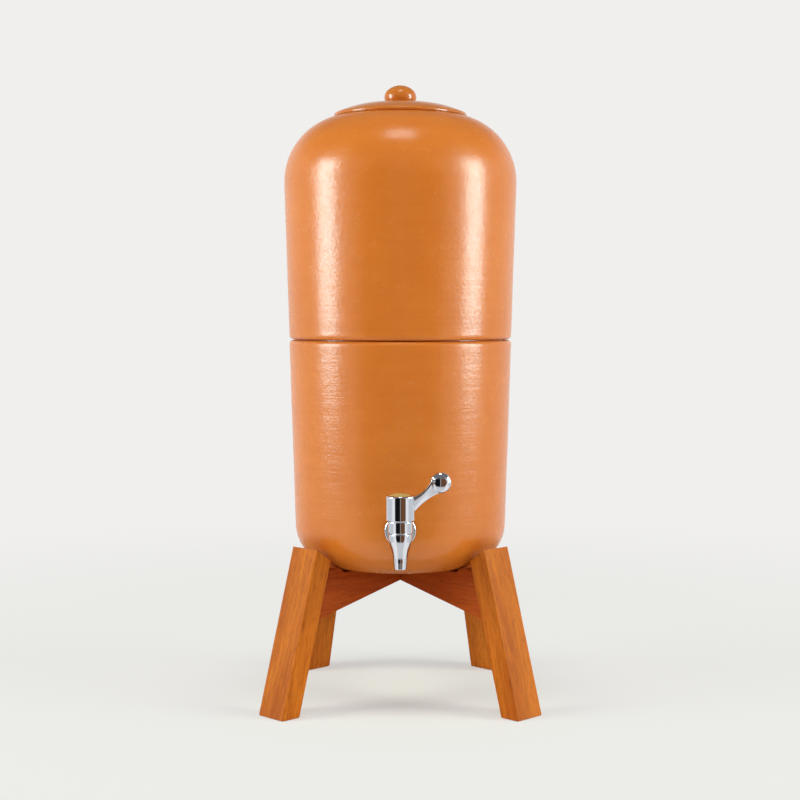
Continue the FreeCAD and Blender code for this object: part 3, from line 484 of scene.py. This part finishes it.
def make_upper_pot():
    foot = SEAM + SEAM_GAP
    steps = [
        (STEM_HOLE, 343), (97.6, 343), (99.6, 345, 2, "left"), (99.6, SEAM), (STEP, SEAM),
        (STEP, foot), (RIM - SEAM_ROUND, foot), (RIM, foot + SEAM_ROUND, SEAM_ROUND, "left"),
        (115.2, 510), (68, 574, 66.3, "left"), (66.8, LEDGE, 1.2, "left"), (57, LEDGE),
        (MOUTH, 570.8, 2, "left"), (MOUTH, 567), (105.2, 510, 56.3, "right"), (100.9, 367),
        (88.9, 355, 12, "right"), (STEM_HOLE, 355),
    ]
    points = trace(steps, POT_SPACING, True)
    piece = turned_mesh("upper_pot_thrown", points, POT_SIDES, True, thrown(11.0))
    to_place(piece)
    dress(piece, "upper_vessel", CLAY, "clay", "upper_pot")


def make_lid():
    """A thin domed lid with a rounded lip, a flattened ball knob and a register below. The
    knob's crown and the hollow below the dome are arcs of these radii."""
    crown = (12.42 ** 2 + 4.53 ** 2) / (2 * 4.53)
    under = (44.0 ** 2 + 4.0) / 4.0
    steps = [
        (0, 579.5), (44, 577.5, under, "right"), (48, 566), (53, 566), (54, 567, 1, "left"),
        (54, LEDGE), (62.4, LEDGE), (63.2, 573.6), (65.9, 576.2, 2.8, "left"), (65.9, 576.7),
        (63.9, 578.8, 2.2, "left"), (16.2, 588.2, 97, "left"), (14.55, 589.7, 1.8, "right"),
        (12.42, 601.97, 9.5, "left"), (0, 606.5, crown, "left"),
    ]
    points = trace(steps, LID_SPACING, False)
    piece = turned_mesh("lid_turned", points, LID_SIDES, False, thrown(7.0, 0.02, 0.08))
    to_place(piece)
    dress(piece, "lid_cover", LID_CLAY, "clay", "lid")


# Tap handle
HANDLE_TOP = 214.8
HANDLE_FOOT = 191.4
HANDLE_RADIUS = 13.4
BARREL_SIDES = 128
LEVER_STEPS = 40
LEVER_HALF = 4.5
LEVER_START = 11.5
BALL_OUT = 37
BALL_HEIGHT = 226.3
BALL_RADII = (9.7, 5.3, 9.7)

# One side of the lever's section, from its lower edge to its upper edge, as (up, out)
LEVER_SECTION = [
    (-1.0, 0.0), (-0.985, 0.2), (-0.93, 0.34), (-0.8, 0.44), (0.0, 0.79), (0.4, 0.955),
    (0.52, 0.99), (0.62, 1.0), (0.75, 0.985), (0.86, 0.87), (0.94, 0.6), (0.985, 0.3),
    (1.0, 0.0),
]


def handle_profile():
    """The barrel, with its socket for the stem and its seat for the disc."""
    return [
        (4.25, HANDLE_FOOT), (12.6, HANDLE_FOOT), (HANDLE_RADIUS, 192.2, 0.8, "left"),
        (HANDLE_RADIUS, HANDLE_TOP - 1.8), (11.6, HANDLE_TOP, 1.8, "left"),
        (9.6, HANDLE_TOP), (9.6, 213.2), (3.4, 213.2), (3.4, 210), (1.75, 210),
        (1.75, 206.2), (4.25, 206.2),
    ]


def make_handle():
    """A barrel, a cast lever with a ridge along each side, and a flattened ball."""
    barrel = turned_mesh("handle_barrel", trace(handle_profile(), 0.5, True), BARREL_SIDES, True)
    low = trace([(LEVER_START, 197.4), (BALL_OUT, 217.2, 60, "right")], 0.6, False)
    high = trace([(LEVER_START, 214.3), (28.8, 231, 25, "left"), (BALL_OUT, 230.3)], 0.6, False)
    section = LEVER_SECTION + [(up, -out) for up, out in LEVER_SECTION[-2:0:-1]]
    form = bmesh.new()
    rings = []
    for index in range(LEVER_STEPS + 1):
        share = index / LEVER_STEPS
        under = low[round(share * (len(low) - 1))]
        over = high[round(share * (len(high) - 1))]
        middle, half = (under + over) / 2, (over - under) / 2
        rings.append([form.verts.new((middle.x + half.x * up, LEVER_HALF * out,
                                      middle.y + half.y * up)) for up, out in section])
    count = len(section)
    for first, second in zip(rings, rings[1:]):
        for number in range(count):
            after = (number + 1) % count
            form.faces.new((first[number], first[after], second[after], second[number]))
    form.faces.new(rings[0])
    form.faces.new(rings[-1][::-1])
    ball = Matrix.Translation((BALL_OUT, 0, BALL_HEIGHT)) @ Matrix.Diagonal((*BALL_RADII, 1))
    bmesh.ops.create_uvsphere(form, u_segments=72, v_segments=48, radius=1, matrix=ball)
    lever = mesh_of("handle_lever", form)
    for piece in (barrel, lever):
        to_place(piece, TAP)
        dress(piece, "handle", CHROME, "chrome", "tap_handle")


# Wooden stand
END_REACH = 8 * MM
FIGURE_STEP = Vector((0.013, 0.021, 0.0))
# Painted light: the steps by which the rear legs' wood is painted lighter
REAR_PAINTED_LIGHT = 12


def long_axis(node):
    """The middle of a leg's foot, and the direction that it leans in."""
    points = [vertex.co for vertex in nodes[node].data.vertices]
    low = min(point.z for point in points)
    high = max(point.z for point in points)
    foot = [point for point in points if point.z < low + END_REACH]
    head = [point for point in points if point.z > high - END_REACH]
    start = sum(foot, Vector()) / len(foot)
    return start, (sum(head, Vector()) / len(head) - start).normalized()


def dress_stand():
    """Each leg has its own stretch of grain, along its length. The rear legs' wood is painted
    lighter, as painted light on them.
    """
    for number, node in enumerate(("leg_front_left", "leg_front_right", "leg_rear_left",
                                   "leg_rear_right")):
        foot, lean = long_axis(node)
        turn = lean.to_track_quat("X", "Z").to_euler()
        shift = foot + FIGURE_STEP * (number + 1)
        # The rear legs' wood is painted lighter here, as painted light
        rear = REAR_PAINTED_LIGHT if "rear" in node else 0
        assign(node, wood_finish(f"wood_{node}", colour(166 + rear, 78 + rear, 12 + rear),
                                 colour(208 + rear, 116 + rear, 30 + rear), shift, turn))
    for node, angle in (("cross_board_lower", 45), ("cross_board_upper", 135)):
        turn = (0.0, 0.0, math.radians(angle))
        assign(node, wood_finish(f"wood_{node}", colour(150, 58, 12), colour(184, 84, 24),
                                 middle_of(node), turn))


def dress_cad_nodes():
    """Give the pieces that keep their CAD shape the finish of their slot."""
    slots = {part["node"]: part["material_slot"] for part in frame["record"]["subparts"]}
    for node, slot in slots.items():
        if slot == "chrome":
            assign(node, CHROME)
        elif slot in PLAIN_FINISHES:
            assign(node, PLAIN_FINISHES[slot])


# Studio
BACKGROUND = colour(240, 239, 237)
FLOOR_RADIUS = 9.0
FLOOR_SIDES = 96

# Painted reflection: the floor colours that glossy things see, in front of the tap, beside it, and
# behind
PAINTED_REFLECTION_FRONT = colour(216, 217, 220)
PAINTED_REFLECTION_SIDE = colour(252, 252, 252)
PAINTED_REFLECTION_BACK = colour(120, 116, 112)

# What glossy things show of the room
DARK_LEFT = colour(22, 22, 24)
BROWN_RIGHT = colour(112, 78, 56)
SLIT_LIGHT = colour(190, 190, 190)
SIDE_LIGHT = colour(252, 252, 252)
FLANK_LIGHT = colour(214, 218, 224)
BACK_LIGHT = colour(240, 240, 240)
CEILING = colour(120, 120, 122)


def make_floor():
    """A sheet of pale paper, shaded round the stand. Further out it reads as the plain
    background, and rays off glossy things pass through it there. Nearer, glossy things see a
    painted reflection on it: grey in front of the tap, white beside it, dark behind."""
    form = bmesh.new()
    bmesh.ops.create_circle(form, cap_ends=True, segments=FLOOR_SIDES, radius=FLOOR_RADIUS)
    floor = mesh_of("studio_floor", form)
    material = bpy.data.materials.new("floor_paper")
    material.use_nodes = True
    finish = Tree(material.node_tree)
    output = finish.tree.nodes["Material Output"]
    finish.tree.nodes.remove(finish.tree.nodes["Principled BSDF"])
    place = finish.place()
    away = finish.node("VectorMath", {0: place}, operation="LENGTH").outputs["Value"]
    plain = finish.span(away, 0.04, 0.28, 0.38, 0.85, smooth=True)
    plain = finish.maths("ADD", plain, finish.span(away, 0.3, 1.4, 0.0, 0.15, smooth=True))
    paper = finish.mix(finish.noise(place, 3.0, 3.0), colour(229, 228, 227), colour(232, 231, 230))
    lit = finish.node("BsdfDiffuse", {"Color": paper}).outputs[0]
    near = colour(236, 235, 233)
    shade_of = finish.mix(finish.span(away, 0.3, 1.5, smooth=True), near, BACKGROUND)
    glow = finish.node("Emission", {"Color": shade_of}).outputs[0]
    path = finish.node("LightPath")
    glossy = path.outputs["Is Glossy Ray"]
    seen = finish.maths("MAXIMUM", path.outputs["Is Camera Ray"], glossy)
    seen = finish.maths("MAXIMUM", seen, path.outputs["Is Transmission Ray"])
    # Painted reflection: by the angle about the tap, glossy rays see the floor grey in front,
    # white beside and dark behind
    parts = finish.node("SeparateXYZ", {0: finish.place(origin=TAP)})
    forward = finish.maths("MULTIPLY", parts.outputs["Y"], -1.0)
    side = finish.maths("ABSOLUTE", finish.maths("ARCTAN2", parts.outputs["X"], forward))
    painted_reflection = finish.mix(finish.span(side, 0.6, 0.9, smooth=True), PAINTED_REFLECTION_FRONT, PAINTED_REFLECTION_SIDE)
    painted_reflection = finish.mix(finish.span(side, 1.7, 2.1, smooth=True), painted_reflection, PAINTED_REFLECTION_BACK)
    painted_reflection = finish.node("Emission", {"Color": painted_reflection}).outputs[0]
    both = finish.node("MixShader", {0: finish.maths("MULTIPLY", seen, plain), 1: lit, 2: glow})
    # Glossy rays see the painted reflection instead of the paper
    both = finish.node("MixShader", {0: glossy, 1: both.outputs[0], 2: painted_reflection})
    clear = finish.node("BsdfTransparent").outputs[0]
    beyond = finish.maths("MULTIPLY", glossy, finish.span(away, 0.44, 0.62, smooth=True))
    whole = finish.node("MixShader", {0: beyond, 1: both.outputs[0], 2: clear}).outputs[0]
    finish.feed(output.inputs["Surface"], whole)
    floor.data.materials.append(material)


def make_world():
    """Seen plain by the camera. Everything else sees pale walls beside and behind the object,
    a grey ceiling, and a round patch in front that is dark on the left and brown on the
    right, with a slit of light in the middle."""
    world = bpy.data.worlds.new("studio")
    bpy.context.scene.world = world
    world.use_nodes = True
    sky = Tree(world.node_tree)
    direction = sky.node("TexCoord").outputs["Generated"]
    parts = sky.node("SeparateXYZ", {0: direction})
    forward = sky.maths("MULTIPLY", parts.outputs["Y"], -1.0)
    azimuth = sky.maths("ARCTAN2", parts.outputs["X"], forward)
    side = sky.maths("ABSOLUTE", azimuth)
    wide = sky.maths("POWER", side, 2.0)
    tall = sky.maths("POWER", sky.maths("MULTIPLY", parts.outputs["Z"], 1.2), 2.0)
    reach = sky.maths("SQRT", sky.maths("ADD", wide, tall))
    open_side = sky.span(reach, 0.72, 0.82, smooth=True)
    flank = sky.span(side, 1.0, 1.35, smooth=True)
    back = sky.span(side, 1.8, 2.4, smooth=True)
    off_slit = sky.maths("ABSOLUTE", sky.maths("SUBTRACT", azimuth, 0.01))
    slit = sky.span(off_slit, 0.02, 0.05, 1.0, 0.0)
    right = sky.span(azimuth, -0.02, 0.04)
    front = sky.mix(right, DARK_LEFT, BROWN_RIGHT)
    front = sky.mix(sky.maths("MULTIPLY", slit, 0.8), front, SLIT_LIGHT)
    sides = sky.mix(flank, SIDE_LIGHT, FLANK_LIGHT)
    sides = sky.mix(back, sides, BACK_LIGHT)
    around = sky.mix(open_side, front, sides)
    overhead = sky.span(parts.outputs["Z"], 0.25, 0.6, smooth=True)
    around = sky.mix(overhead, around, CEILING)
    lit = sky.node("Background", {"Color": around})
    plain = sky.node("Background", {"Color": BACKGROUND})
    seen = sky.node("LightPath").outputs["Is Camera Ray"]
    both = sky.node("MixShader", {0: seen, 1: lit.outputs[0], 2: plain.outputs[0]})
    sky.feed(sky.tree.nodes["World Output"].inputs["Surface"], both.outputs[0])


LAMP_AIM = Vector((0, 0, 0.42))


def make_lamp(name, azimuth, elevation, distance, size, radiance, tint):
    """A soft box that faces the pots. Azimuth 0 is the camera's side, and 90 the right."""
    data = bpy.data.lights.new(name, "AREA")
    data.shape = "RECTANGLE"
    data.size, data.size_y = size
    data.energy = radiance * math.pi * size[0] * size[1]
    data.color = tint
    lamp = bpy.data.objects.new(name, data)
    bpy.context.scene.collection.objects.link(lamp)
    turn, lift = math.radians(azimuth), math.radians(elevation)
    out = Vector((math.sin(turn) * math.cos(lift), -math.cos(turn) * math.cos(lift),
                  math.sin(lift)))
    lamp.location = LAMP_AIM + out * distance
    lamp.rotation_euler = out.to_track_quat("Z", "Y").to_euler()
    lamp.visible_camera = False
    return lamp


def make_lamps():
    """A bright strip on each side for the clay's highlights, a broad lamp on each side for its
    tone, a small box above for the shoulder's highlight, and a weak fill in front."""
    for side, sign in (("left", -1), ("right", 1)):
        strip = make_lamp(f"softbox_{side}", 76 * sign, 10, 1.7, (0.62, 1.05), 15.0,
                          (0.62, 0.96, 1.0))
        strip.visible_diffuse = False
        broad = make_lamp(f"lamp_{side}", 72 * sign, 24, 2.2, (1.0, 1.5), 8.4 - 0.25 * sign,
                          (0.88, 1.0, 0.84))
        broad.visible_glossy = False
    make_lamp("softbox_top", 0, 73, 1.5, (0.46, 0.36), 7.0, (0.8, 1.0, 1.0))
    fill = make_lamp("fill", 0, 22, 2.6, (2.0, 1.4), 1.0, (1.0, 0.62, 0.7))
    fill.visible_glossy = False


CAMERA_DISTANCE = 1.6
CAMERA_HEIGHT = 0.3844
CAMERA_SIDE = -0.0003
CAMERA_DIP = 3.2195


def make_camera():
    data = bpy.data.cameras.new("camera")
    data.sensor_width = 36.0
    data.lens = 72.0
    data.clip_end = 40.0
    camera = bpy.data.objects.new("camera", data)
    bpy.context.scene.collection.objects.link(camera)
    camera.location = (CAMERA_SIDE, AXIS.y - CAMERA_DISTANCE, CAMERA_HEIGHT)
    camera.rotation_euler = (math.radians(90 - CAMERA_DIP), 0, 0)
    bpy.context.scene.camera = camera


make_lower_pot()
make_upper_pot()
make_lid()
make_handle()
dress_stand()
dress_cad_nodes()
make_floor()
make_world()
make_lamps()
make_camera()
bpy.context.scene.view_settings.view_transform = "Standard"
